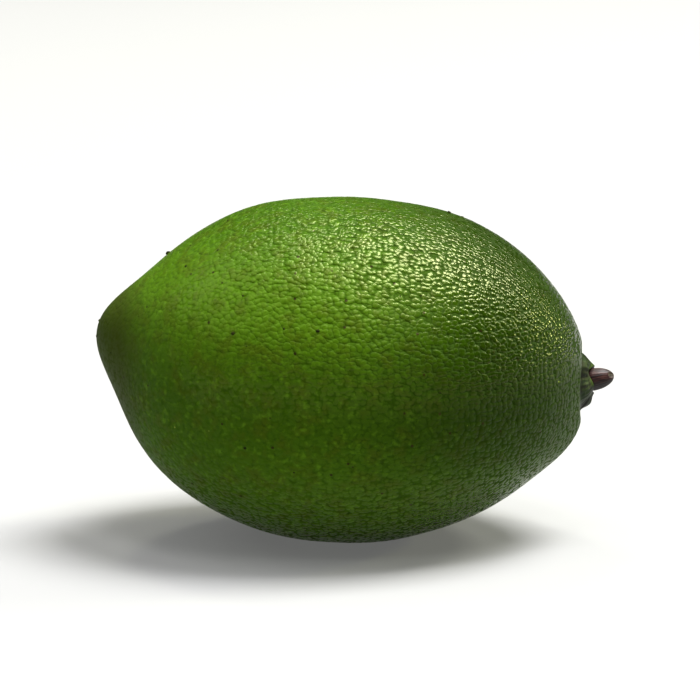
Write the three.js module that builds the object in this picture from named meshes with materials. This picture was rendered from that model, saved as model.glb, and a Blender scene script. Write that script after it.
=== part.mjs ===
// A whole lime, as picked: the fruit, the green calyx that grips its stem end, and the short woody stub of the
// stem. It lies on its side. Millimetres, +Z up, +X along the fruit towards the stem. The origin is on the small
// flat spot that the fruit rests on, straight below the middle of its belly.
import * as THREE from "three";
import { mergeVertices } from "three/addons/utils/BufferGeometryUtils.js";

// The fruit is an egg, measured from the middle of its belly. Directions are given by two angles in degrees: how
// far they lean away from the stem's end of the long axis, and how far round that axis from the top to the back.
const bellyHeight = 22.55; // middle of the belly above the table
const bellyToBlossom = 30.4; // half length on the nipple's side
const bellyToStem = 32; // half length on the stem's side
const bellyRadius = 22.95; // half height at the fattest place
const bellyHalfWidth = 22.7;
const blossomFullness = 2.06; // 2 makes an ellipse, and less is more pointed
const stemFullness = 1.93;
const stemDroop = 0.55; // how much lower the stem's end of the long axis lies than the belly's middle
const endsLift = 0.44; // how much both ends are bent up
const pressBlend = 0.12; // height over which the round of the belly turns into the flat spot

// Round swellings of the skin, and shallow hollows where the height is below zero.
const swellings = [
  { height: 3, spread: 11.9, lean: 171.3, round: 0 }, // the nipple at the blossom end
  { height: 0.42, spread: 18, lean: 117, round: 12 }, // the back of its neck
  { height: 0.8, spread: 28, lean: 47, round: 12 }, // the upper shoulder at the stem's end
  { height: 1.14, spread: 10, lean: 16, round: 192 }, // a lump under the calyx
  { height: 0.3, spread: 22, lean: 66, round: 262 }, // the front cheek
  { height: -0.22, spread: 20, lean: 118, round: 290 }, // a hollow beside it
  { height: 0.35, spread: 26, lean: 98, round: 75 }, // the back cheek
];

// Slow waves run over the skin, along the fruit and round it, and wander as they go. A pace is a share of the waves'
// own, and a reach and a start are angles in radians.
const waveHeight = 0.09;
const waveLength = 13;
const alongWander = { reach: 1.3, pace: 0.6, start: 1 };
const roundWander = { reach: 1.1, pace: 0.7, start: 2 };
const roundFading = { pace: 0.8, start: 0.4 };

// The seat is the round hollow in the skin that the calyx sits in.
const seatPole = { lean: 2.3, round: 180 };
const seatDepth = 0.95;
const seatSpread = 8.6; // degrees
const seatSteepness = 8;

// The calyx lies on the seat. Its radii are measured from the seat's pole, and its heights from the skin.
const calyxGap = 0.2;
const lobes = 5; // one of them points straight down
const lobeReach = 4.75;
const notchReach = 4.3;
const edgeThickness = 0.28;
const edgeSetBack = 0.15; // of the edge's top from its tip
const lobeSwell = 0.85; // how much the lowest lobe stands above the notches on both sides of it
const topLobeShare = 0.2; // the lobes at the top stand that share as high
const swellSetBack = 0.12; // of the highest place of a lobe towards the cup, as a share of the lobe
const upperRaise = 0.4; // how much further out the calyx's upper side stands than its lower side
const upperSlope = 1.2; // width of the slope from the edge up to the raised side
const skirtHollow = { fromRim: 0.65, belowRim: 0.6, fromEdge: 1.5, aboveEdge: 0.25 }; // what pulls its curve in
const cupRadius = 1.68; // of the mouth that holds the stem
const cupRise = 0.2; // the mouth is that much higher than the floor, as the stem leans
const cupHeight = 1.8;
const rimWidth = 0.15;
const rimRounding = 0.12;
const cupFloorRadius = 1.6;
const cupFloorHeight = 0.6;
const rimDip = { depth: 0.95, round: 318, spread: 36 }; // a low place in the front of the cup's rim

// The stem is a blunt stub that leans up a little. Its foot stands in the cup.
const stemGap = 0.42; // under the middle of its tilted foot
const stemLean = 11; // degrees
const stemRadius = 1.5;
const stemFootRadius = 1.25;
const stemFootHeight = 0.8;
const stemLength = 3.7;
const scarRadius = 0.32; // the dry scar at its tip
const scarLip = 0.1; // width of the round lip of the scar
const scarTop = 0.06; // how far the lip's inner edge lies below the tip
const scarFloor = { radiusShare: 0.7, depth: 0.16, middleDepth: 0.14 };
const stemRidges = 7;
const ridgeDepth = 0.035; // share of the radius

// How finely the pieces are cut.
const fruitCuts = 20; // along each edge of the 20-sided ball that the fruit starts from
const endsCrowding = 0.45; // how much closer together the cuts lie at the fruit's two ends
const calyxSides = 60;
const skirtCuts = 9;
const stemSides = 35;
const flankCuts = 14;

const { degToRad, radToDeg, smoothstep, lerp, clamp } = THREE.MathUtils;

function directionTo({ lean, round }) {
  const away = degToRad(lean);
  const turn = degToRad(round);
  return new THREE.Vector3(Math.cos(away), Math.sin(away) * Math.sin(turn), Math.sin(away) * Math.cos(turn));
}

// A round bump over directions: 1 in its middle, falling to 0 over its spread.
function bump(direction, middle, spread, steepness = 2) {
  const angle = radToDeg(direction.angleTo(middle));
  return Math.exp(-Math.pow(angle / spread, steepness));
}

// Slow waves that keep the skin from being a perfect egg.
function wave(direction) {
  const turns = (2 * Math.PI * bellyRadius) / waveLength;
  const { x, y, z } = direction;
  const alongBend = alongWander.reach * Math.sin(turns * alongWander.pace * y + alongWander.start);
  const roundBend = roundWander.reach * Math.sin(turns * roundWander.pace * x + roundWander.start);
  const fading = Math.cos(turns * roundFading.pace * y + roundFading.start);
  return (Math.sin(turns * x + alongBend) + Math.sin(turns * z + roundBend) * fading) / 2;
}

// The point of the skin in a direction from the belly's middle, raised by a height.
function skinPoint(direction, height = 0) {
  const towardsStem = direction.x > 0;
  const halfLength = towardsStem ? bellyToStem : bellyToBlossom;
  const fullness = towardsStem ? stemFullness : blossomFullness;
  const lengthShare = Math.abs(direction.x) / halfLength;
  const girthShare = Math.hypot(direction.y / bellyHalfWidth, direction.z / bellyRadius);
  let reach = (lengthShare ** fullness + girthShare ** fullness) ** (-1 / fullness);
  for (const swelling of swellings) {
    reach += swelling.height * bump(direction, directionTo(swelling), swelling.spread);
  }
  const seat = bump(direction, directionTo(seatPole), seatSpread, seatSteepness);
  reach += waveHeight * wave(direction) * (1 - seat) - seatDepth * seat;
  const point = direction.clone().multiplyScalar(reach + height);
  const share = point.x / bellyToStem;
  point.z += bellyHeight - stemDroop * share + endsLift * share * share;
  return point;
}

// The height of a point once the fruit has settled on the table.
function settled(z) {
  if (z >= pressBlend) return z;
  if (z <= -pressBlend) return 0;
  return (z + pressBlend) ** 2 / (4 * pressBlend);
}

// Moves every corner of a geometry to a new place, and returns it as one closed skin.
function reshaped(geometry, place) {
  geometry.deleteAttribute("normal");
  geometry.deleteAttribute("uv");
  const corners = geometry.getAttribute("position");
  const corner = new THREE.Vector3();
  for (let i = 0; i < corners.count; i++) {
    const moved = place(corner.fromBufferAttribute(corners, i));
    corners.setXYZ(i, moved.x, moved.y, moved.z);
  }
  const closed = mergeVertices(geometry, 1e-3);
  closed.computeVertexNormals();
  return closed;
}

// The fruit: a ball cut from 20 equal faces, crowded towards its ends, whose corners are moved out to the skin.
function fruitGeometry() {
  const longAxis = new THREE.Vector3(1, 0, 0);
  return reshaped(new THREE.IcosahedronGeometry(1, fruitCuts), (corner) => {
    const lean = corner.angleTo(longAxis);
    const crowded = lean - (endsCrowding * Math.sin(2 * lean)) / 2;
    const girth = Math.hypot(corner.y, corner.z) || 1;
    const direction = new THREE.Vector3(
      Math.cos(crowded),
      (Math.sin(crowded) * corner.y) / girth,
      (Math.sin(crowded) * corner.z) / girth,
    );
    const point = skinPoint(direction);
    point.z = settled(point.z);
    return point;
  });
}

// The calyx: a turned cup with a skirt, drawn in between the lobes, raised along them and on its upper side, and
// laid on the skin.
function calyxGeometry() {
  const edgeTop = calyxGap + edgeThickness;
  const skirtTop = cupRadius + rimWidth;
  const skirt = new THREE.CubicBezierCurve(
    new THREE.Vector2(skirtTop, cupHeight),
    new THREE.Vector2(skirtTop + skirtHollow.fromRim, cupHeight - skirtHollow.belowRim),
    new THREE.Vector2(lobeReach - skirtHollow.fromEdge, edgeTop + skirtHollow.aboveEdge),
    new THREE.Vector2(lobeReach - edgeSetBack, edgeTop),
  );
  const profile = [
    new THREE.Vector2(0, calyxGap),
    new THREE.Vector2(lobeReach / 2, calyxGap),
    new THREE.Vector2(lobeReach - edgeSetBack, calyxGap),
    new THREE.Vector2(lobeReach, calyxGap + edgeThickness / 2),
    ...skirt.getPoints(skirtCuts).reverse(),
    new THREE.Vector2(cupRadius, cupHeight - rimRounding),
    new THREE.Vector2(cupFloorRadius, cupFloorHeight),
    new THREE.Vector2(0, cupFloorHeight),
  ];
  const ontoPole = new THREE.Quaternion().setFromUnitVectors(new THREE.Vector3(1, 0, 0), directionTo(seatPole));
  return reshaped(new THREE.LatheGeometry(profile, calyxSides), (corner) => {
    const radius = Math.hypot(corner.x, corner.z);
    const round = Math.atan2(corner.x, -corner.z);
    const lobe = (1 - Math.cos(lobes * round)) / 2;
    const outwards = smoothstep(radius, cupRadius, lobeReach);
    const reach = radius * lerp(1, lerp(notchReach, lobeReach, lobe) / lobeReach, outwards);
    const above = smoothstep(corner.y, calyxGap, cupFloorHeight);
    const low = lerp(topLobeShare, 1, ((1 - Math.cos(round)) / 2) ** 2);
    const hump = Math.sin(Math.PI * clamp(outwards + swellSetBack, 0, 1));
    const swell = lobeSwell * low * lobe * hump * above;
    const dipAngle = radToDeg(Math.acos(Math.cos(round - degToRad(rimDip.round))));
    const dip = rimDip.depth * Math.exp(-((dipAngle / rimDip.spread) ** 2)) * (1 - outwards);
    const rimShare = smoothstep(corner.y, cupFloorHeight, cupHeight);
    const skirtShare = smoothstep(lobeReach - radius, 0, upperSlope) * above;
    const outside = radius > cupRadius + rimWidth / 2;
    const raised = upperRaise * ((1 + Math.cos(round)) / 2) ** 2 * (outside ? skirtShare : rimShare);
    const rise = cupRise * rimShare * (1 - outwards);
    const direction = new THREE.Vector3(bellyToStem, Math.sin(round) * reach, Math.cos(round) * reach + rise);
    direction.normalize().applyQuaternion(ontoPole);
    return skinPoint(direction, corner.y + swell + raised - dip * rimShare);
  });
}

// The stem: a turned stub with a round end and shallow ridges along it. It stands along its own +Y.
function stemGeometry() {
  const taper = new THREE.EllipseCurve(0, stemFootHeight, stemRadius, stemLength - stemFootHeight, 0, Math.PI / 2);
  const flank = taper.getPoints(flankCuts).filter((point) => point.x > scarRadius + scarLip);
  const profile = [
    new THREE.Vector2(0, 0),
    new THREE.Vector2(stemFootRadius, 0),
    new THREE.Vector2((stemFootRadius + stemRadius) / 2, stemFootHeight / 3),
    ...flank,
    new THREE.Vector2(scarRadius, stemLength - scarTop),
    new THREE.Vector2(scarRadius * scarFloor.radiusShare, stemLength - scarFloor.depth),
    new THREE.Vector2(0, stemLength - scarFloor.middleDepth),
  ];
  return reshaped(new THREE.LatheGeometry(profile, stemSides), (corner) => {
    const round = Math.atan2(corner.x, corner.z);
    const groove = 1 - (ridgeDepth * (1 - Math.cos(stemRidges * round))) / 2;
    return new THREE.Vector3(corner.x * groove, corner.y, corner.z * groove);
  });
}

function piece(name, geometry, material) {
  const mesh = new THREE.Mesh(geometry, new THREE.MeshStandardMaterial(material));
  mesh.name = name;
  return mesh;
}

const lime = new THREE.Group();
lime.add(piece("fruit", fruitGeometry(), { color: 0x3f7310, roughness: 0.35, metalness: 0 }));
lime.add(piece("calyx", calyxGeometry(), { color: 0x2c4617, roughness: 0.5, metalness: 0 }));

// The stem's foot is in the middle of the cup, and the stem leans up from the fruit's long axis.
const stem = piece("stem", stemGeometry(), { color: 0x4b2d2a, roughness: 0.4, metalness: 0 });
stem.position.copy(skinPoint(directionTo(seatPole), cupFloorHeight + stemGap));
stem.quaternion.setFromUnitVectors(new THREE.Vector3(0, 1, 0), directionTo({ lean: stemLean, round: 0 }));
lime.add(stem);

export default lime;
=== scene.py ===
"""A whole lime lying on a pale table: its dimpled peel, the corky specks on it, the calyx and the stem.

Lengths are in millimetres and become metres when a mesh is finished. The fruit lies along X with its stem
at +X. Directions over it are two angles in degrees: the lean away from +X, and the turn round that axis
from the top towards the back.
"""

import bmesh
import bpy
import numpy as np
from mathutils import Matrix, Vector


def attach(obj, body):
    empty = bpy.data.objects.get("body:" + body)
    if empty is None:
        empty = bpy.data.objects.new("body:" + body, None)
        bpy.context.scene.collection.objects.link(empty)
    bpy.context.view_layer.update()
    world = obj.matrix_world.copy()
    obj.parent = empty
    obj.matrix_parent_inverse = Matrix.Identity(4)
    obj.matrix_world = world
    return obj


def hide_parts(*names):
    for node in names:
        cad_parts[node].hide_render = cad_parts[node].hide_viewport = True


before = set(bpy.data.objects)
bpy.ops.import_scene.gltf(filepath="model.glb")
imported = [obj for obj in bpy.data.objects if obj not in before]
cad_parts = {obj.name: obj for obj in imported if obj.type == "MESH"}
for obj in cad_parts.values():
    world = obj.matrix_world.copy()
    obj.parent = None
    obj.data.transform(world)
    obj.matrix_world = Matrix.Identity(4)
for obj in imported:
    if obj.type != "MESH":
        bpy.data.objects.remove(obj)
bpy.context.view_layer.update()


# ------------------------------------------------------------------------------------------ the peel
# The peel is the tough waxy skin that covers the whole fruit, from the nipple at its blossom end to the
# shallow seat of the calyx at its stem end. It grew in one piece, is pebbled by the oil glands under it,
# and is pressed flat where the lime lies on the table.

MM = 0.001
BELLY_HEIGHT = 22.55
BELLY_TO_BLOSSOM = 30.4
BELLY_TO_STEM = 32.0
BELLY_RADIUS = 22.95
BELLY_HALF_WIDTH = 22.7
BLOSSOM_FULLNESS = 2.06
STEM_FULLNESS = 1.93
STEM_DROOP = 0.55
ENDS_LIFT = 0.44
PRESS_BLEND = 0.12  # height over which the skin rounds into its flat spot
SWELLINGS = (  # height, spread, lean, turn
    (3.0, 11.9, 171.3, 0),  # nipple
    (0.42, 18, 117, 12),  # back of its neck
    (0.8, 28, 47, 12),  # upper shoulder at the stem's end
    (1.14, 10, 16, 192),  # lump under the calyx
    (0.3, 22, 66, 262),  # front cheek
    (-0.22, 20, 118, 290),  # hollow beside it
    (0.35, 26, 98, 75),  # back cheek
)
UNEVENNESS = 0.09  # height of the slow waves of the skin
WAVE_LENGTH = 13
SEAT_POLE = (2.3, 180)  # lean and turn of the middle of the calyx's seat
SEAT_DEPTH = 0.95
SEAT_SPREAD = 8.6
SEAT_STEEPNESS = 8  # of its wall, where 2 makes a soft dent and more a flat floor


def toward(lean, turn):
    """The unit direction that has a lean and a turn round the long axis."""
    away, turn = np.radians(lean), np.radians(turn)
    return np.stack([np.cos(away), np.sin(away) * np.sin(turn), np.sin(away) * np.cos(turn)], axis=-1)


def bump_round(directions, lean, turn, spread, steepness=2):
    """A round bump over directions: 1 in its middle, falling to 0 over its spread."""
    angle = np.degrees(np.arccos(np.clip(directions @ toward(lean, turn), -1, 1)))
    return np.exp(-((angle / spread) ** steepness))


def slow_waves(directions):
    """Slow waves that keep the skin from being a perfect egg. The small factors only bend them."""
    turns = 2 * np.pi * BELLY_RADIUS / WAVE_LENGTH
    x, y, z = directions.T
    along = np.sin(turns * x + 1.3 * np.sin(turns * 0.6 * y + 1))
    across = np.sin(turns * z + 1.1 * np.sin(turns * 0.7 * x + 2)) * np.cos(turns * 0.8 * y + 0.4)
    return (along + across) / 2


def skin(directions, height=0.0):
    """The points of the skin in unit directions from the belly's middle, raised by a height."""
    stem_side = directions[:, 0] > 0
    half_length = np.where(stem_side, BELLY_TO_STEM, BELLY_TO_BLOSSOM)
    fullness = np.where(stem_side, STEM_FULLNESS, BLOSSOM_FULLNESS)
    girth = np.hypot(directions[:, 1] / BELLY_HALF_WIDTH, directions[:, 2] / BELLY_RADIUS)
    reach = ((np.abs(directions[:, 0]) / half_length) ** fullness + girth ** fullness) ** (-1 / fullness)
    for rise, spread, lean, turn in SWELLINGS:
        reach += rise * bump_round(directions, lean, turn, spread)
    seat = bump_round(directions, *SEAT_POLE, SEAT_SPREAD, SEAT_STEEPNESS)
    reach += UNEVENNESS * slow_waves(directions) * (1 - seat) - SEAT_DEPTH * seat
    points = directions * (reach + height)[:, None]
    share = points[:, 0] / BELLY_TO_STEM
    points[:, 2] += BELLY_HEIGHT - STEM_DROOP * share + ENDS_LIFT * share ** 2
    return points


def settled(z):
    """The heights of points once the fruit has settled on the table."""
    return np.where(z >= PRESS_BLEND, z, np.maximum(z + PRESS_BLEND, 0) ** 2 / (4 * PRESS_BLEND))


def corners(mesh):
    """The places of a mesh's corners, one row each."""
    places = np.empty(len(mesh.vertices) * 3)
    mesh.vertices.foreach_get("co", places)
    return places.reshape(-1, 3)


def place_corners(mesh, places):
    """Puts a mesh's corners at places, one row each."""
    mesh.vertices.foreach_set("co", np.ascontiguousarray(places, dtype=float).ravel())
    mesh.update()


def add_object(name, mesh):
    """A smooth piece of a name, made of a mesh and put in the scene."""
    mesh.shade_smooth()
    made = bpy.data.objects.new(name, mesh)
    bpy.context.collection.objects.link(made)
    return made


PEEL_CUTS = 127  # along each edge of the cube that the peel starts from
ENDS_CROWDING = 0.2  # how much closer the corners lie at the two ends than round the belly
TINY = 1e-9  # stands in for a girth of nothing

net = bmesh.new()
bmesh.ops.create_cube(net, size=2)
bmesh.ops.subdivide_edges(net, edges=net.edges[:], cuts=PEEL_CUTS, use_grid_fill=True)
peel_mesh = bpy.data.meshes.new("peel")
net.to_mesh(peel_mesh)
net.free()

ball = np.tan(corners(peel_mesh) * np.pi / 4)
ball /= np.linalg.norm(ball, axis=1)[:, None]
lean = np.arccos(np.clip(ball[:, 0], -1, 1))
crowded = lean - ENDS_CROWDING * np.sin(2 * lean) / 2
widened = np.sin(crowded) / np.maximum(np.hypot(ball[:, 1], ball[:, 2]), TINY)
ball = np.stack([np.cos(crowded), widened * ball[:, 1], widened * ball[:, 2]], axis=1)
peel_points = skin(ball)
peel_points[:, 2] = settled(peel_points[:, 2])
place_corners(peel_mesh, peel_points * MM)
peel = add_object("peel", peel_mesh)


def feed(tree, node, inputs):
    """Gives a node its inputs, each named or numbered: a plain value, or the socket to join to it."""
    for key, value in inputs.items():
        if isinstance(value, bpy.types.NodeSocket):
            tree.links.new(value, node.inputs[key])
        else:
            node.inputs[key].default_value = value


def add_node(tree, kind, inputs=None, **settings):
    """Adds a node of a kind with its settings and inputs."""
    made = tree.nodes.new(kind)
    for name, value in settings.items():
        setattr(made, name, value)
    feed(tree, made, inputs or {})
    return made


def work_out(tree, operation, *values):
    """A sum or other operation on numbers."""
    return add_node(tree, "ShaderNodeMath", dict(enumerate(values)), operation=operation).outputs[0]


def work_out_vector(tree, operation, *values):
    """The same on vectors."""
    return add_node(tree, "ShaderNodeVectorMath", dict(enumerate(values)), operation=operation).outputs[0]


def times(tree, vector, factor):
    """A vector made longer by a factor."""
    inputs = {0: vector, "Scale": factor}
    return add_node(tree, "ShaderNodeVectorMath", inputs, operation="SCALE").outputs[0]


def parts_of(tree, vector):
    """The X, Y and Z of a vector."""
    return add_node(tree, "ShaderNodeSeparateXYZ", {0: vector}).outputs


def fade(tree, value, start, end, low=0.0, high=1.0):
    """Goes smoothly from low to high as the value goes from start to end."""
    inputs = {"Value": value, "From Min": start, "From Max": end, "To Min": low, "To Max": high}
    return add_node(tree, "ShaderNodeMapRange", inputs, interpolation_type="SMOOTHSTEP").outputs["Result"]


def noise(tree, place, size, detail=1):
    """Soft blotches of a size in millimetres, from 0 to 1."""
    inputs = {"Vector": place, "Scale": 1 / size, "Detail": detail}
    return add_node(tree, "ShaderNodeTexNoise", inputs).outputs[0]


GLAND_PITCH = 0.56  # between neighbouring pebbles of the peel
GLAND_SQUEEZE = (0.8, 1.0, 1.0)  # of the pattern along X, which draws the pebbles out that way
GLAND_SOFTNESS = 0.1
DOME_REACH = 1.5  # how soon a pebble falls away from its top
DOME_STEEPNESS = 2.8  # of its sides, below a top that grows flatter
PEBBLE_HEIGHT = 0.084
WANDERS_PER_MM = 0.9  # fineness of the soft noise by which the pebbles wander
WANDER_REACH = 0.5
NOISE_MIDDLE = 0.5  # of the values of a noise
SLOW_SIZE, SLOW_HEIGHT = 2.0, 0.06  # the low swells under the pebbles
GRAIN_SIZE, GRAIN_HEIGHT = 0.25, 0.001  # the fine grain on them
CREASE_HEIGHT = 0.02
CREASE_SLANT = 28  # degrees up towards the stem, as seen from the front
CREASE_SQUEEZE = (0.16, 0.8, 1.0)
CREASE_SIZE, CREASE_WIDTH = 1.0, 0.1
CREASE_PATCH_SIZE, CREASE_PATCH = 5.0, (0.45, 0.65)

# Each fade starts and ends at a place in mm, along the fruit or up from the table, and has a value at each.
DISORDER_ALONG = (4, 18, 0.75, 0.55)  # rounder, more even pebbles near the stem
RELIEF_ALONG_NIPPLE = (-22, -6, 0.4, 1.0)
RELIEF_UP_UNDERSIDE = (20, 13, 0.4, 0.9)  # the nipple's half is only smoother above
RELIEF_ALONG_STEM = (20, 29, 1.0, 0.8)
CALM_UP = (31, 43, 0.52, 1.0)  # the lower body is calmer than the top
CALM_ALONG = (10, 20, 0.6, 1.0)  # but not near the stem
CALM_UP_UNDERSIDE = (14, 6, 0.6, 1.0)  # nor on the underside
PRESSED_UP = (0.02, 0.6)  # none where the fruit is pressed flat


def relief_share(tree, along, up):
    """How high the pebbles stand at a place along and up the fruit, as a share of their full height."""
    share = fade(tree, along, *RELIEF_ALONG_NIPPLE)
    share = work_out(tree, "MAXIMUM", share, fade(tree, up, *RELIEF_UP_UNDERSIDE))
    share = work_out(tree, "MULTIPLY", share, fade(tree, along, *RELIEF_ALONG_STEM))
    calm = work_out(tree, "MAXIMUM", fade(tree, up, *CALM_UP), fade(tree, along, *CALM_ALONG))
    calm = work_out(tree, "MAXIMUM", calm, fade(tree, up, *CALM_UP_UNDERSIDE))
    return work_out(tree, "MULTIPLY", share, calm)


def creases(tree, place):
    """Long slanting creases, in patches: 1 in their middle and 0 beside them."""
    inputs = {"Vector": place, "Angle": np.radians(CREASE_SLANT)}
    slanted = add_node(tree, "ShaderNodeVectorRotate", inputs, rotation_type="Y_AXIS")
    drawn_out = work_out_vector(tree, "MULTIPLY", slanted.outputs[0], CREASE_SQUEEZE)
    crease = work_out(tree, "SUBTRACT", noise(tree, drawn_out, CREASE_SIZE, detail=0), NOISE_MIDDLE)
    crease = fade(tree, work_out(tree, "ABSOLUTE", crease), CREASE_WIDTH, 0.0)
    patch = fade(tree, noise(tree, place, CREASE_PATCH_SIZE), *CREASE_PATCH)
    return work_out(tree, "MULTIPLY", crease, patch)


def pebble_height(tree, place):
    """The height in mm of the pebbled relief at a place in mm, and the domes alone, 1 on their tops.

    It serves both the mesh and its material.
    """
    parts = parts_of(tree, place)
    inputs = {"Vector": place, "Scale": WANDERS_PER_MM, "Detail": 0.0}
    wander = add_node(tree, "ShaderNodeTexNoise", inputs).outputs["Color"]
    wander = times(tree, work_out_vector(tree, "SUBTRACT", wander, (NOISE_MIDDLE,) * 3), WANDER_REACH)
    bent = work_out_vector(tree, "ADD", place, wander)
    inputs = {
        "Vector": work_out_vector(tree, "MULTIPLY", bent, GLAND_SQUEEZE),
        "Scale": 1 / GLAND_PITCH,
        "Smoothness": GLAND_SOFTNESS,
        "Randomness": fade(tree, parts["X"], *DISORDER_ALONG),
    }
    cells = add_node(tree, "ShaderNodeTexVoronoi", inputs, feature="SMOOTH_F1").outputs["Distance"]
    fall = work_out(tree, "POWER", work_out(tree, "MULTIPLY", cells, DOME_REACH), DOME_STEEPNESS)
    dome = work_out(tree, "SUBTRACT", 1.0, fall)
    height = work_out(tree, "MULTIPLY", dome, PEBBLE_HEIGHT)
    height = work_out(tree, "MULTIPLY_ADD", noise(tree, place, GRAIN_SIZE), GRAIN_HEIGHT, height)
    height = work_out(tree, "MULTIPLY_ADD", noise(tree, bent, SLOW_SIZE, detail=0), SLOW_HEIGHT, height)
    height = work_out(tree, "MULTIPLY_ADD", creases(tree, place), CREASE_HEIGHT, height)
    return work_out(tree, "MULTIPLY", height, relief_share(tree, parts["X"], parts["Z"])), dome


PEBBLE_SHARE = 0.5  # of the relief is in the mesh, and all of it is in the material's bump


def raise_pebbles(piece):
    """Moves a piece's corners out by the pebbled relief, but not where it is pressed on the table."""
    tree = bpy.data.node_groups.new("pebbles", "GeometryNodeTree")
    tree.interface.new_socket("Geometry", in_out="INPUT", socket_type="NodeSocketGeometry")
    tree.interface.new_socket("Geometry", in_out="OUTPUT", socket_type="NodeSocketGeometry")
    given = tree.nodes.new("NodeGroupInput")
    place = tree.nodes.new("GeometryNodeInputPosition").outputs[0]
    outwards = tree.nodes.new("GeometryNodeInputNormal").outputs[0]
    in_mm = times(tree, place, 1 / MM)
    height, _ = pebble_height(tree, in_mm)
    height = work_out(tree, "MULTIPLY", height, fade(tree, parts_of(tree, in_mm)["Z"], *PRESSED_UP))
    offset = times(tree, outwards, work_out(tree, "MULTIPLY", height, PEBBLE_SHARE * MM))
    moved = add_node(tree, "GeometryNodeSetPosition", {"Geometry": given.outputs[0], "Offset": offset})
    result = tree.nodes.new("NodeGroupOutput")
    tree.links.new(moved.outputs[0], result.inputs[0])
    modifier = piece.modifiers.new("pebbles", "NODES")
    modifier.node_group = tree
    raised = bpy.data.meshes.new_from_object(piece.evaluated_get(bpy.context.evaluated_depsgraph_get()))
    piece.modifiers.clear()
    piece.data = raised
    bpy.data.node_groups.remove(tree)


raise_pebbles(peel)


def colour(red, green, blue):
    """A colour given as it looks on a screen, from 0 to 255, as Blender takes it."""
    share = np.array([red, green, blue]) / 255
    linear = np.where(share <= 0.04045, share / 12.92, ((share + 0.055) / 1.055) ** 2.4)
    return (*(float(part) for part in linear), 1.0)


MIX_SHARE, MIX_FIRST, MIX_SECOND, MIXED = 0, 6, 7, 2  # the colour sockets of a Mix node


def mix(tree, share, first, second):
    """One colour turned into another by a share."""
    inputs = {MIX_SHARE: share, MIX_FIRST: first, MIX_SECOND: second}
    return add_node(tree, "ShaderNodeMix", inputs, data_type="RGBA", clamp_factor=True).outputs[MIXED]


SPOT_EDGE = 0.35  # width of a spot's soft edge, as a share of its radius


def spots(tree, place, pitch, radius):
    """Round spots of a radius in mm, about one in each cell of a pitch: 1 inside them and 0 outside."""
    inputs = {"Vector": place, "Scale": 1 / pitch, "Randomness": 1.0}
    far = add_node(tree, "ShaderNodeTexVoronoi", inputs, feature="F1").outputs["Distance"]
    return fade(tree, far, radius / pitch, radius * (1 - SPOT_EDGE) / pitch)


def new_material(name):
    """A new material, its node tree, its surface and the place on the piece in mm."""
    made = bpy.data.materials.new(name)
    made.use_nodes = True
    tree = made.node_tree
    place = add_node(tree, "ShaderNodeTexCoord").outputs["Object"]
    return made, tree, tree.nodes["Principled BSDF"], times(tree, place, 1 / MM)


def bump(tree, height, strength):
    """The normal that a height in mm gives a surface."""
    inputs = {"Strength": strength, "Distance": MM, "Height": height}
    return add_node(tree, "ShaderNodeBump", inputs).outputs[0]


# The first four greens are painted light and shade, laid in bands up the fruit.
PAINTED_LOW_GREEN = colour(61, 94, 10)
PAINTED_SHADE_GREEN = colour(52, 83, 4)
PAINTED_LIT_GREEN = colour(75, 112, 10)
PAINTED_TOP_SHADE_GREEN = colour(48, 81, 4)
OLIVE = colour(66, 76, 8)
PALE_GREEN = colour(90, 130, 22)
# Painted shade that darkens the peel towards the stem end.
PAINTED_STEM_END_SHADE = colour(21, 37, 2)
# Olive of the nipple, partly its own tone and partly painted shade.
OLIVE_TIP_AND_SHADE = colour(48, 60, 6)
# Dark green of the gland mottles, also laid in the crevices between the domes as painted shade.
GLAND_GREEN_AND_CREVICE_SHADE = colour(30, 54, 4)
CORKY = colour(40, 38, 10)
FLECK = colour(130, 148, 56)

# The greens follow one another up the fruit as painted light and shade: a lighter green at the bottom, a
# shaded green over the lower half, a lit green above it and a darker green at the very top. Blotches shift
# the first two changes up and down.
BLOTCH_SIZE, BLOTCH_REACH = 9, 6
PAINTED_LOW_TO_SHADE = (14, 25)
PAINTED_SHADE_TO_LIT = (25, 38)
PAINTED_LIT_TO_TOP_SHADE = (35, 45, 0.0, 0.8)
HERE = (0.0, 0.0, 0.0)
ELSEWHERE = (31.0, 17.0, 5.0)  # so that two patterns of one kind don't fall together
MOTTLES = (  # size of the mottles, where they are read, fade of the noise with its shares, colour
    (2.2, HERE, (0.42, 0.7, 0.0, 0.5), OLIVE),
    (0.8, ELSEWHERE, (0.5, 0.75, 0.0, 0.5), PALE_GREEN),
    (0.6, HERE, (0.5, 0.3, 0.0, 0.35), GLAND_GREEN_AND_CREVICE_SHADE),
)
# Painted shade over the stem end, along the fruit, with less of it low down.
PAINTED_SHADE_ALONG = (-4, 22, 0.0, 0.9)
PAINTED_SHADE_UP = (8, 26, 0.45, 1.0)
TIP_SHADE_ALONG = (-25, -30, 0.0, 0.9)
# Painted shade in the crevices, stronger towards the stem.
CREVICE_SHADE_SPAN = (0.6, 0.0)  # of a dome's height, where the colour of the crevices begins and is full
CREVICE_SHADE_ALONG = (-12, 6, 0.1, 0.38)  # and how strong it is
FLECK_PITCH, FLECK_RADIUS = 4.2, 0.14
CORK_PITCH, CORK_RADIUS = 2.7, 0.24

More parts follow.
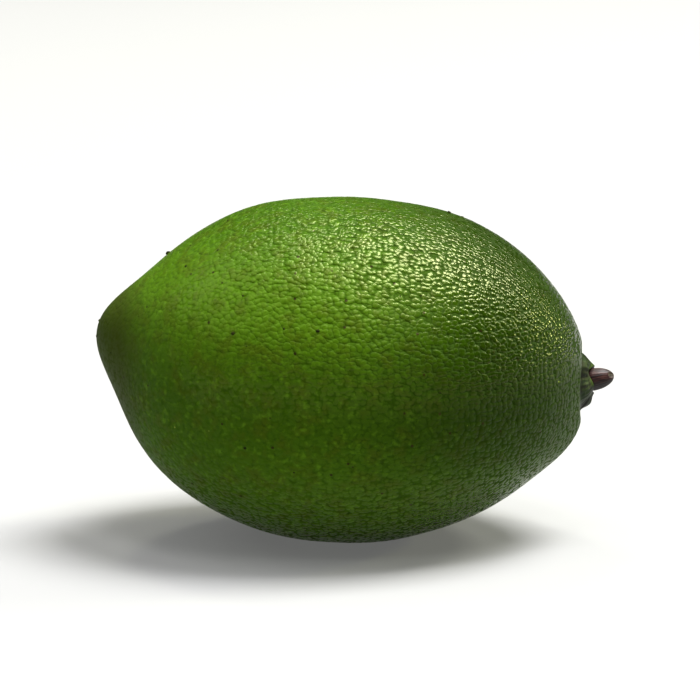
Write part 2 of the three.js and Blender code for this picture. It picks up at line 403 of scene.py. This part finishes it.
# The wax shines on the tops of the pebbles. The crevices are bare, and the lower half is duller.
NIPPLE_DULLS_ALONG = (-18, -27, 0.0, 12.0)  # mm by which the dull half reaches higher there
STEM_DULLS_ALONG = (17, 26, 0.0, 2.0)
DULL_DOWN = (27, 19)
DULL_UP_UNDERSIDE = (6, 15)
POLISH_UP = (44, 39, 0.2, 0.3)  # roughness of the tops, over the height and along the fruit
POLISH_ALONG = (6, 18, 0.3, 0.12)
DULLED = 0.4  # roughness that the dull half adds
BARE = (0.6, 0.15)  # of a dome's height, where the wax thins out and where it is gone
ROUGH = (0.6, 0.1)  # of a dome's height, where the roughness of the crevices begins and is full
CREVICE_ROUGHNESS = 0.85
WAX_SHINE = (0.92, 1.0, 0.34, 1.0)
BARE_SHINE = (0.2, 0.25, 0.05, 1.0)
WAX_SPECULAR = 0.34


def peel_green(tree, place, dome):
    """The colour of the peel at a place, with painted light and shade: banded up the fruit, darker at the
    stem end and the nipple, and darker where a dome sinks into a crevice.
    """
    parts = parts_of(tree, place)
    along, up = parts["X"], parts["Z"]
    blotch = noise(tree, place, BLOTCH_SIZE, detail=2)
    blotch = work_out(tree, "MULTIPLY_ADD", blotch, BLOTCH_REACH, up)
    green = mix(tree, fade(tree, blotch, *PAINTED_LOW_TO_SHADE), PAINTED_LOW_GREEN, PAINTED_SHADE_GREEN)
    green = mix(tree, fade(tree, blotch, *PAINTED_SHADE_TO_LIT), green, PAINTED_LIT_GREEN)
    green = mix(tree, fade(tree, up, *PAINTED_LIT_TO_TOP_SHADE), green, PAINTED_TOP_SHADE_GREEN)
    for size, shift, spread, tone in MOTTLES:
        mottle = noise(tree, work_out_vector(tree, "ADD", place, shift), size, detail=2)
        green = mix(tree, fade(tree, mottle, *spread), green, tone)
    shade = work_out(tree, "MULTIPLY", fade(tree, along, *PAINTED_SHADE_ALONG), fade(tree, up, *PAINTED_SHADE_UP))
    green = mix(tree, shade, green, PAINTED_STEM_END_SHADE)
    crevice_shade = work_out(tree, "MULTIPLY", fade(tree, dome, *CREVICE_SHADE_SPAN), fade(tree, along, *CREVICE_SHADE_ALONG))
    green = mix(tree, crevice_shade, green, GLAND_GREEN_AND_CREVICE_SHADE)
    green = mix(tree, fade(tree, along, *TIP_SHADE_ALONG), green, OLIVE_TIP_AND_SHADE)
    elsewhere = work_out_vector(tree, "ADD", place, ELSEWHERE)
    green = mix(tree, spots(tree, elsewhere, FLECK_PITCH, FLECK_RADIUS), green, FLECK)
    return mix(tree, spots(tree, place, CORK_PITCH, CORK_RADIUS), green, CORKY)


def waxy_peel():
    made, tree, surface, place = new_material("waxy_peel")
    height, dome = pebble_height(tree, place)
    parts = parts_of(tree, place)
    along, up = parts["X"], parts["Z"]
    level = work_out(tree, "SUBTRACT", up, fade(tree, along, *NIPPLE_DULLS_ALONG))
    level = work_out(tree, "SUBTRACT", level, fade(tree, along, *STEM_DULLS_ALONG))
    dull = work_out(tree, "MULTIPLY", fade(tree, level, *DULL_DOWN), fade(tree, up, *DULL_UP_UNDERSIDE))
    polish = work_out(tree, "MINIMUM", fade(tree, up, *POLISH_UP), fade(tree, along, *POLISH_ALONG))
    tops = work_out(tree, "MULTIPLY_ADD", dull, DULLED, polish)
    bare = work_out(tree, "MAXIMUM", fade(tree, dome, *BARE), dull)
    feed(tree, surface, {
        "Base Color": peel_green(tree, place, dome),
        "Roughness": fade(tree, dome, *ROUGH, tops, CREVICE_ROUGHNESS),
        "Specular IOR Level": WAX_SPECULAR,
        "Specular Tint": mix(tree, bare, WAX_SHINE, BARE_SHINE),
        "Normal": bump(tree, height, 1.0),
    })
    return made


peel.data.materials.append(waxy_peel())
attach(peel, "root")
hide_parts("fruit")


# ---------------------------------------------------------------------------------------- the specks
# The specks are dry corky warts, healed scars of the peel. Each is a small flattened lump, grown fast in
# the skin, and a few stand proud enough to show on the outline.

SPECKS = (  # lean, turn, radius, and how proud it stands as a share of the radius
    (147.4, 7, 0.42, 0.75),
    (57, 4, 0.38, 0.7),
    (53, 6, 0.26, 0.6),
    (169.9, 0, 0.25, 0.6),
    (172.7, 340, 0.24, 0.6),
    (140.4, 332, 0.2, 0.4),
    (130.3, 334, 0.17, 0.4),
    (127.2, 355, 0.2, 0.5),
    (122.2, 309, 0.15, 0.4),
    (125.3, 295, 0.26, 0.5),
    (98.6, 295, 0.28, 0.5),
    (109.4, 296, 0.16, 0.4),
    (112.2, 314, 0.14, 0.4),
    (94.1, 316, 0.16, 0.4),
    (72.3, 308, 0.15, 0.4),
    (65.7, 309, 0.15, 0.4),
    (26.5, 208, 0.22, 0.6),
    (121.5, 253, 0.24, 0.3),
    (106.3, 246, 0.17, 0.3),
    (79.3, 234, 0.15, 0.3),
    (60.1, 275, 0.13, 0.3),
)
SMALL_SPECKS = 70  # scattered over the whole fruit
SMALL_SPECK_ENDS = (-0.99, 0.9)  # cosine of their lean, from the nipple to near the calyx
SMALL_SPECK_RADII = (0.06, 0.14)
SMALL_SPECK_STAND = 0.4
SPECK_NARROWING = (0.75, 1.0)  # width of a speck as a share of its length
SPECK_RAGGEDNESS = 0.12  # of its radius
LOWEST_SPECK = 1  # height under which no speck has its foot, so that the fruit rests on its flat spot
SPECK_SEED = 7
SKIN_STEP = 0.2  # degrees between the points of the skin that give its slope


def outwards(lean, turn):
    """The direction that points straight out of the skin, and the point of the skin it stands on."""
    near = toward(np.array([lean, lean + SKIN_STEP, lean]), np.array([turn, turn, turn + SKIN_STEP]))
    here, ahead, beside = skin(near)
    across = np.cross(beside - here, ahead - here)
    across *= np.sign(across @ near[0])
    return Vector(across).normalized(), Vector(here)


chance = np.random.default_rng(SPECK_SEED)
lumps = list(SPECKS)
for _ in range(SMALL_SPECKS):
    lean = np.degrees(np.arccos(chance.uniform(*SMALL_SPECK_ENDS)))
    lumps.append((lean, chance.uniform(0, 360), chance.uniform(*SMALL_SPECK_RADII), SMALL_SPECK_STAND))

warts = bmesh.new()
for lean, turn, radius, proud in lumps:
    out, foot = outwards(lean, turn)
    if foot.z < LOWEST_SPECK:
        continue
    facing = out.to_track_quat("Z", "Y").to_matrix().to_4x4()
    shape = Matrix.Diagonal((radius, radius * chance.uniform(*SPECK_NARROWING), radius * proud, 1))
    placed = Matrix.Translation(foot) @ facing @ shape
    lump = bmesh.ops.create_icosphere(warts, subdivisions=2, radius=1, matrix=placed)
    for corner in lump["verts"]:
        corner.co += out * radius * chance.uniform(-SPECK_RAGGEDNESS, SPECK_RAGGEDNESS)
bmesh.ops.scale(warts, vec=(MM, MM, MM), verts=warts.verts)
specks_mesh = bpy.data.meshes.new("specks")
warts.to_mesh(specks_mesh)
warts.free()
specks = add_object("specks", specks_mesh)

DARK_CORK = colour(26, 32, 8)
PALE_CORK = colour(48, 52, 18)
CORK_GRAIN = 0.3  # size of its mottles
CORK_MOTTLE = (0.35, 0.65)


def dry_cork():
    made, tree, surface, place = new_material("dry_cork")
    tone = fade(tree, noise(tree, place, CORK_GRAIN), *CORK_MOTTLE)
    feed(tree, surface, {
        "Base Color": mix(tree, tone, DARK_CORK, PALE_CORK),
        "Roughness": 0.9,
        "Specular IOR Level": 0.05,
    })
    return made


specks.data.materials.append(dry_cork())
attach(specks, "root")
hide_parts("fruit")


# ----------------------------------------------------------------------------------------- the calyx
# The calyx is a tough leathery star of five blunt sepals, grown together into a cup round the stem's foot.
# It grips the shallow seat in the peel, its thin edge lies sunk in the skin, and one sepal points down.

LOBES = 5
LOBE_REACH = 4.75
NOTCH_REACH = 4.3
LOBE_SWELL = 0.85  # of the lowest sepal
TOP_SWELL = 0.2  # share of that at the top
SWELL_SHIFT = 0.12  # towards the cup, of the sepals' highest line
UPPER_RAISE = 0.4  # how much further out the upper side stands
UPPER_SLOPE = 1.2  # width of the slope from the edge up to it
CALYX_SINK = 0.25  # of its underside, below the skin
CUP_RADIUS = 1.68
CUP_WALL = 0.02  # how far outside that radius the sepals begin
CUP_HEIGHT = 1.8
CUP_RISE = 0.2  # of the cup towards the top of the fruit
CUP_FLOOR_RADIUS = 1.6
CUP_FLOOR = 0.6
RIM_DIP = 0.95  # of the cup's rim, on its front upper side
RIM_DIP_TURN = 318
RIM_DIP_SPREAD = 36
CALYX_SIDES = 160
WRINKLE = 0.06  # height of the wrinkles along the sepals
WRINKLE_WAVES = (31, 2.5, 3)
RAGGED = 0.1  # how far the edge wanders
RAGGED_WAVES = (13, 2, 4)
SKIRT = (  # radius and height of the sepals' edge, of two points that pull the curve, and of the cup's lip
    (LOBE_REACH - 0.1, 0.1),
    (LOBE_REACH - 1.5, 0.6),
    (CUP_RADIUS + 0.8, 1.2),
    (CUP_RADIUS + 0.15, CUP_HEIGHT),
)
SKIRT_STEPS = 24
MERGE_GAP = 1e-5  # corners closer than that are one


def curve_through(start, first, second, end, steps):
    """Points of a smooth curve from start to end, pulled towards two points between them."""
    t = np.linspace(0, 1, steps)[:, None]
    start, first, second, end = (np.array(point, dtype=float) for point in (start, first, second, end))
    leaving = (1 - t) ** 3 * start + 3 * (1 - t) ** 2 * t * first
    return leaving + 3 * (1 - t) * t ** 2 * second + t ** 3 * end


def smooth(value, start, end):
    """Goes smoothly from 0 to 1 as the value goes from start to end."""
    share = np.clip((value - start) / (end - start), 0, 1)
    return share * share * (3 - 2 * share)


def uneven_waves(turn, waves, bend, bends, shift=0):
    """Waves round an axis, so many in a turn, bent to and fro so that few are alike."""
    return np.sin(waves * turn + bend * np.sin(bends * turn) + shift)


def turned(profile, sides):
    """A closed skin turned from a profile of (radius, height along +X). It returns the mesh's bmesh."""
    made = bmesh.new()
    chain = [made.verts.new((height, 0, radius)) for radius, height in profile]
    for one, other in zip(chain, chain[1:]):
        made.edges.new((one, other))
    bmesh.ops.spin(
        made, geom=made.verts[:] + made.edges[:], cent=(0, 0, 0), axis=(1, 0, 0), dvec=(0, 0, 0),
        angle=2 * np.pi, steps=sides, use_merge=True, use_normal_flip=False, use_duplicate=False,
    )
    bmesh.ops.remove_doubles(made, verts=made.verts, dist=MERGE_GAP)
    bmesh.ops.recalc_face_normals(made, faces=made.faces)
    return made


calyx_profile = [
    (0, -CALYX_SINK), (1.6, -CALYX_SINK), (3.2, -CALYX_SINK), (4.4, -CALYX_SINK), (LOBE_REACH, -0.12),
    *curve_through(*SKIRT, SKIRT_STEPS),
    (1.77, CUP_HEIGHT + 0.02), (1.71, CUP_HEIGHT), (CUP_RADIUS, CUP_HEIGHT - 0.08),
    (1.66, 1.4), (1.63, 1.0), (CUP_FLOOR_RADIUS, CUP_FLOOR + 0.1),
    (1.5, CUP_FLOOR), (1.0, CUP_FLOOR), (0.5, CUP_FLOOR), (0, CUP_FLOOR),
]
calyx_mesh = bpy.data.meshes.new("calyx")
star = turned(calyx_profile, CALYX_SIDES)
star.to_mesh(calyx_mesh)
star.free()

flat = corners(calyx_mesh)
radius = np.hypot(flat[:, 1], flat[:, 2])
turn = np.arctan2(flat[:, 1], flat[:, 2])
lobe = (1 - np.cos(LOBES * turn)) / 2
spread_out = smooth(radius, CUP_RADIUS, LOBE_REACH)
notch = (1 - NOTCH_REACH / LOBE_REACH) * (1 - lobe)
reach = radius * (1 - notch * spread_out) + RAGGED * spread_out ** 3 * uneven_waves(turn, *RAGGED_WAVES)
upper = smooth(flat[:, 0], 0.0, CUP_FLOOR)
low = TOP_SWELL + (1 - TOP_SWELL) * ((1 - np.cos(turn)) / 2) ** 2
swell = LOBE_SWELL * low * lobe * np.sin(np.pi * np.clip(spread_out + SWELL_SHIFT, 0, 1)) * upper
wrinkles = WRINKLE * uneven_waves(turn, *WRINKLE_WAVES, radius) * np.sin(np.pi * spread_out) * upper
rim = smooth(flat[:, 0], CUP_FLOOR, CUP_HEIGHT)
from_dip = np.degrees(np.arccos(np.cos(turn - np.radians(RIM_DIP_TURN))))
dip = RIM_DIP * np.exp(-((from_dip / RIM_DIP_SPREAD) ** 2)) * (1 - spread_out) * rim
upper_share = ((1 + np.cos(turn)) / 2) ** 2
slope = smooth(LOBE_REACH - radius, 0, UPPER_SLOPE) * upper
raised = UPPER_RAISE * upper_share * np.where(radius > CUP_RADIUS + CUP_WALL, slope, rim)
rise = CUP_RISE * rim * (1 - spread_out)
ahead = np.full_like(radius, BELLY_TO_STEM)
star_ways = np.stack([ahead, np.sin(turn) * reach, np.cos(turn) * reach + rise], axis=1)
star_ways /= np.linalg.norm(star_ways, axis=1)[:, None]
onto_seat = Vector((1, 0, 0)).rotation_difference(Vector(toward(*SEAT_POLE))).to_matrix()
star_ways = star_ways @ np.array(onto_seat).T
place_corners(calyx_mesh, skin(star_ways, flat[:, 0] + swell + wrinkles + raised - dip) * MM)
calyx_mesh.attributes.new("spread_out", "FLOAT", "POINT").data.foreach_set("value", spread_out)
calyx = add_object("calyx", calyx_mesh)

SEPAL_GREEN = colour(27, 42, 12)
SEPAL_BROWN = colour(20, 21, 11)
SEPAL_GREY = colour(54, 68, 36)
# Lighter green laid in patches round the cup's rim, a painted highlight.
RIM_HIGHLIGHT_GREEN = colour(46, 64, 14)
STREAK_SQUEEZE = (1.0, 1.0, 0.35)  # draws the streaks out up and down
STREAK_SIZE, STREAK = 0.45, (0.45, 0.7)
BROWN_SIZE, BROWN_PATCH = 1.6, (0.42, 0.62)
RIM_HIGHLIGHT_WIDTH = (0.12, 0.0)  # as a share of the way out to the sepals' edge
RIM_HIGHLIGHT_SIZE, RIM_HIGHLIGHT_PATCH = 0.9, (0.5, 0.6)
PUCKER_SIZE, PUCKER_HEIGHT = 0.3, 0.06


def leathery_sepal():
    made, tree, surface, place = new_material("leathery_sepal")
    streaked = work_out_vector(tree, "MULTIPLY", place, STREAK_SQUEEZE)
    streak = fade(tree, noise(tree, streaked, STREAK_SIZE, detail=3), *STREAK)
    brown = fade(tree, noise(tree, place, BROWN_SIZE, detail=2), *BROWN_PATCH)
    tone = mix(tree, brown, mix(tree, streak, SEPAL_GREEN, SEPAL_GREY), SEPAL_BROWN)
    out = add_node(tree, "ShaderNodeAttribute", attribute_name="spread_out").outputs["Fac"]
    patch = fade(tree, noise(tree, place, RIM_HIGHLIGHT_SIZE), *RIM_HIGHLIGHT_PATCH)
    tone = mix(tree, work_out(tree, "MULTIPLY", fade(tree, out, *RIM_HIGHLIGHT_WIDTH), patch), tone, RIM_HIGHLIGHT_GREEN)
    height = work_out(tree, "MULTIPLY", noise(tree, streaked, PUCKER_SIZE, detail=2), PUCKER_HEIGHT)
    feed(tree, surface, {
        "Base Color": tone,
        "Roughness": 0.45,
        "Specular IOR Level": 0.12,
        "Normal": bump(tree, height, 0.8),
    })
    return made


calyx.data.materials.append(leathery_sepal())
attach(calyx, "root")
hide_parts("calyx")


# ------------------------------------------------------------------------------------------ the stem
# The stem is the short woody stub left when the lime was cut from its twig. It is ribbed and weathered
# dark brown, has a small dry scar at its round tip, and leans up a little out of the calyx's cup.

STEM_GAP = 0.42  # between its foot and the cup's floor
STEM_LEAN = 11
STEM_RADIUS = 1.5
STEM_FOOT_RADIUS = 1.25
STEM_FOOT_HEIGHT = 0.8
STEM_LENGTH = 3.7
STEM_SIDES = 112
STEM_RIDGES = 7
RIDGE_DEPTH = 0.035  # as a share of the stem's radius
FINE_RIDGE_WAVES = (29, 2, 2)
FINE_RIDGE_DEPTH = 0.012
TIP = (STEM_LENGTH * 0.7, STEM_LENGTH * 0.85)  # heights between which the stem turns into its tip
SCAR_TURN = 300  # from the top towards the back
SCAR_AWAY = 0.62  # of the scar from the stem's axis
SCAR_RADIUS = 0.34
SCAR_DEPTH = 0.2
SCAR_EDGE = 4  # steepness of its wall
LIP_RADIUS = SCAR_RADIUS * 1.25  # of the low lip round the scar
LIP_WIDTH, LIP_HEIGHT = 0.1, 0.05
GRAIN_SQUEEZE = 0.12  # of the bark's pattern, which draws it out along the stem
ROUNDING_STEPS = 25

rounding = np.linspace(0, np.pi / 2, ROUNDING_STEPS, endpoint=False)
above_foot = STEM_LENGTH - STEM_FOOT_HEIGHT
stem_profile = [
    (0, 0), (0.6, 0), (STEM_FOOT_RADIUS - 0.06, 0), (STEM_FOOT_RADIUS, 0.06), (1.375, 0.27), (1.45, 0.5),
    *((STEM_RADIUS * np.cos(angle), STEM_FOOT_HEIGHT + above_foot * np.sin(angle)) for angle in rounding),
    (0, STEM_LENGTH),
]
stem_mesh = bpy.data.meshes.new("stem")
stub = turned(stem_profile, STEM_SIDES)
stub.to_mesh(stem_mesh)
stub.free()

straight = corners(stem_mesh)
turn = np.arctan2(straight[:, 1], straight[:, 2])
groove = RIDGE_DEPTH * (1 - np.cos(STEM_RIDGES * turn)) / 2
groove += FINE_RIDGE_DEPTH * uneven_waves(turn, *FINE_RIDGE_WAVES)
ribbed = straight * np.stack([np.ones_like(groove), 1 - groove, 1 - groove], axis=1)
scar_turn = np.radians(SCAR_TURN)
scar_middle = SCAR_AWAY * np.array([np.sin(scar_turn), np.cos(scar_turn)])
scar_gap = np.linalg.norm(ribbed[:, 1:] - scar_middle, axis=1)
tip = smooth(ribbed[:, 0], *TIP)
scar = tip * np.exp(-((scar_gap / SCAR_RADIUS) ** SCAR_EDGE))
lip = tip * np.exp(-(((scar_gap - LIP_RADIUS) / LIP_WIDTH) ** 2))
ribbed[:, 0] += LIP_HEIGHT * lip - SCAR_DEPTH * scar
lean_up = np.array(Vector((1, 0, 0)).rotation_difference(Vector(toward(STEM_LEAN, 0))).to_matrix())
foot = skin(toward(*SEAT_POLE)[None], CUP_FLOOR + STEM_GAP)[0]
place_corners(stem_mesh, (ribbed @ lean_up.T + foot) * MM)
grain = np.stack([GRAIN_SQUEEZE * straight[:, 0], np.sin(turn), np.cos(turn)], axis=1)
stem_mesh.attributes.new("along_grain", "FLOAT_VECTOR", "POINT").data.foreach_set("vector", grain.ravel())
stem_mesh.attributes.new("scar", "FLOAT", "POINT").data.foreach_set("value", scar)
stem = add_object("stem", stem_mesh)

BARK_BROWN = colour(56, 31, 29)
BARK_DARK = colour(30, 16, 15)
BARK_PALE = colour(84, 55, 46)
# Painted shade for the underside of the stem.
BARK_UNDERSIDE_SHADE = colour(18, 10, 9)
FIBRE_FINENESS = 6.0
BROWN_FIBRE = (0.4, 0.62)
PALE_FIBRE = (0.58, 0.72)
PAINTED_SHADE_UNDERSIDE = (0.2, -0.6, 0.0, 0.85)  # of the stem's radius, up from its axis
SCAR_SHARE = (0.3, 0.8)
FIBRE_HEIGHT = 0.05


def weathered_bark():
    made, tree, surface, _ = new_material("weathered_bark")
    along_grain = add_node(tree, "ShaderNodeAttribute", attribute_name="along_grain").outputs["Vector"]
    fibre = noise(tree, along_grain, 1 / FIBRE_FINENESS, detail=4)
    tone = mix(tree, fade(tree, fibre, *BROWN_FIBRE), BARK_DARK, BARK_BROWN)
    tone = mix(tree, fade(tree, fibre, *PALE_FIBRE), tone, BARK_PALE)
    tone = mix(tree, fade(tree, parts_of(tree, along_grain)["Z"], *PAINTED_SHADE_UNDERSIDE), tone, BARK_UNDERSIDE_SHADE)
    on_scar = add_node(tree, "ShaderNodeAttribute", attribute_name="scar").outputs["Fac"]
    tone = mix(tree, fade(tree, on_scar, *SCAR_SHARE), tone, BARK_DARK)
    feed(tree, surface, {
        "Base Color": tone,
        "Roughness": 0.42,
        "Specular IOR Level": 0.25,
        "Normal": bump(tree, work_out(tree, "MULTIPLY", fibre, FIBRE_HEIGHT), 0.8),
    })
    return made


stem.data.materials.append(weathered_bark())
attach(stem, "root")
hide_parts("stem")


# ----------------------------------------------------------------------------------------- the table
# The table is a plain sheet of pale matt paper, laid flat under the lime and wide enough to fill every
# view. It also glows faintly by itself, painted light that lifts the shadows on it and under the lime. It
# is no part of the lime.

TABLE_RADIUS = 3.0  # in metres
TABLE_SIDES = 96

sheet = bmesh.new()
bmesh.ops.create_circle(sheet, cap_ends=True, segments=TABLE_SIDES, radius=TABLE_RADIUS)
table_mesh = bpy.data.meshes.new("table")
sheet.to_mesh(table_mesh)
sheet.free()
table = add_object("table", table_mesh)

PAPER = (0.32, 0.32, 0.32, 1.0)
WHITE = (1.0, 1.0, 1.0, 1.0)
PAINTED_TABLE_GLOW = 0.12


def pale_paper():
    made, tree, surface, _ = new_material("pale_paper")
    feed(tree, surface, {
        "Base Color": PAPER,
        "Emission Color": WHITE,
        "Emission Strength": PAINTED_TABLE_GLOW,
        "Roughness": 0.9,
        "Specular IOR Level": 0.2,
    })
    return made


table.data.materials.append(pale_paper())


# ----------------------------------------------------------------------------------------- the light
# Square soft boxes hang round the lime: small bright ones over its right end, weaker ones behind and in
# front of it, and a wide faint one on the left. The room round them is dark.

LAMP_DISTANCE = 2.0  # in metres
ROOM_GLOW = 0.03
LAMPS = (  # name, turn from the front to the right and lift in degrees, side in metres, brightness, warmth
    ("overhead", 104, 69, 0.88, 35.0, 0.0),
    ("right_box", 112, 41, 0.38, 30.0, 0.15),
    ("right_low_box", 110, 18, 0.22, 58.0, 0.5),
    ("back_box", 150, 64, 0.34, 12.0, 0.2),
    ("back_left_box", -162, 61, 0.28, 30.0, 0.2),
    ("front_box", 10, 76, 0.4, 12.0, 0.0),
    ("front_right_box", 20, 58, 0.5, 6.0, 0.0),
    ("left_box", -80, 60, 2.0, 1.2, 0.0),
)

for name, turn, lift, side, brightness, warmth in LAMPS:
    turn, lift = np.radians(turn), np.radians(lift)
    away = Vector((np.sin(turn) * np.cos(lift), -np.cos(turn) * np.cos(lift), np.sin(lift)))
    lamp = bpy.data.lights.new(name, "AREA")
    lamp.shape = "SQUARE"
    lamp.size = side
    lamp.color = (1.0, 1.0, 1.0 - warmth)
    lamp.energy = brightness * np.pi * side ** 2
    box = bpy.data.objects.new(name, lamp)
    bpy.context.collection.objects.link(box)
    box.location = away * LAMP_DISTANCE
    box.rotation_euler = away.to_track_quat("Z", "Y").to_euler()

room = bpy.data.worlds.new("room")
room.use_nodes = True
feed(room.node_tree, room.node_tree.nodes["Background"], {"Color": WHITE, "Strength": ROOM_GLOW})
bpy.context.scene.world = room
bpy.context.scene.view_settings.view_transform = "Standard"


# ---------------------------------------------------------------------------------------- the camera
# The camera stands in front of the lime, square to its long axis and a little above it. Its long lens
# keeps the outline of the fruit close to its true shape.

CAMERA_DISTANCE = 0.45  # in metres
CAMERA_RISE = 12  # degrees above the horizon
FRAME_WIDTH = 0.0933  # metres across the frame, at the lime
PIXELS = 700
BELLY_PIXEL = (345, 370.5)  # where the frame has the middle of the belly, from its top left corner

rise = np.radians(CAMERA_RISE)
back = Vector((0, -np.cos(rise), np.sin(rise)))
up = Vector((0, np.sin(rise), np.cos(rise)))
right = Vector((1, 0, 0))
pixel = FRAME_WIDTH / PIXELS
belly = Vector((0, 0, BELLY_HEIGHT * MM))
aim = belly + right * (PIXELS / 2 - BELLY_PIXEL[0]) * pixel - up * (PIXELS / 2 - BELLY_PIXEL[1]) * pixel
lens = bpy.data.cameras.new("camera")
lens.lens = lens.sensor_width * CAMERA_DISTANCE / FRAME_WIDTH
camera = bpy.data.objects.new("camera", lens)
bpy.context.collection.objects.link(camera)
camera.location = aim + back * CAMERA_DISTANCE
camera.rotation_euler = (-back).to_track_quat("-Z", "Y").to_euler()
bpy.context.scene.camera = camera
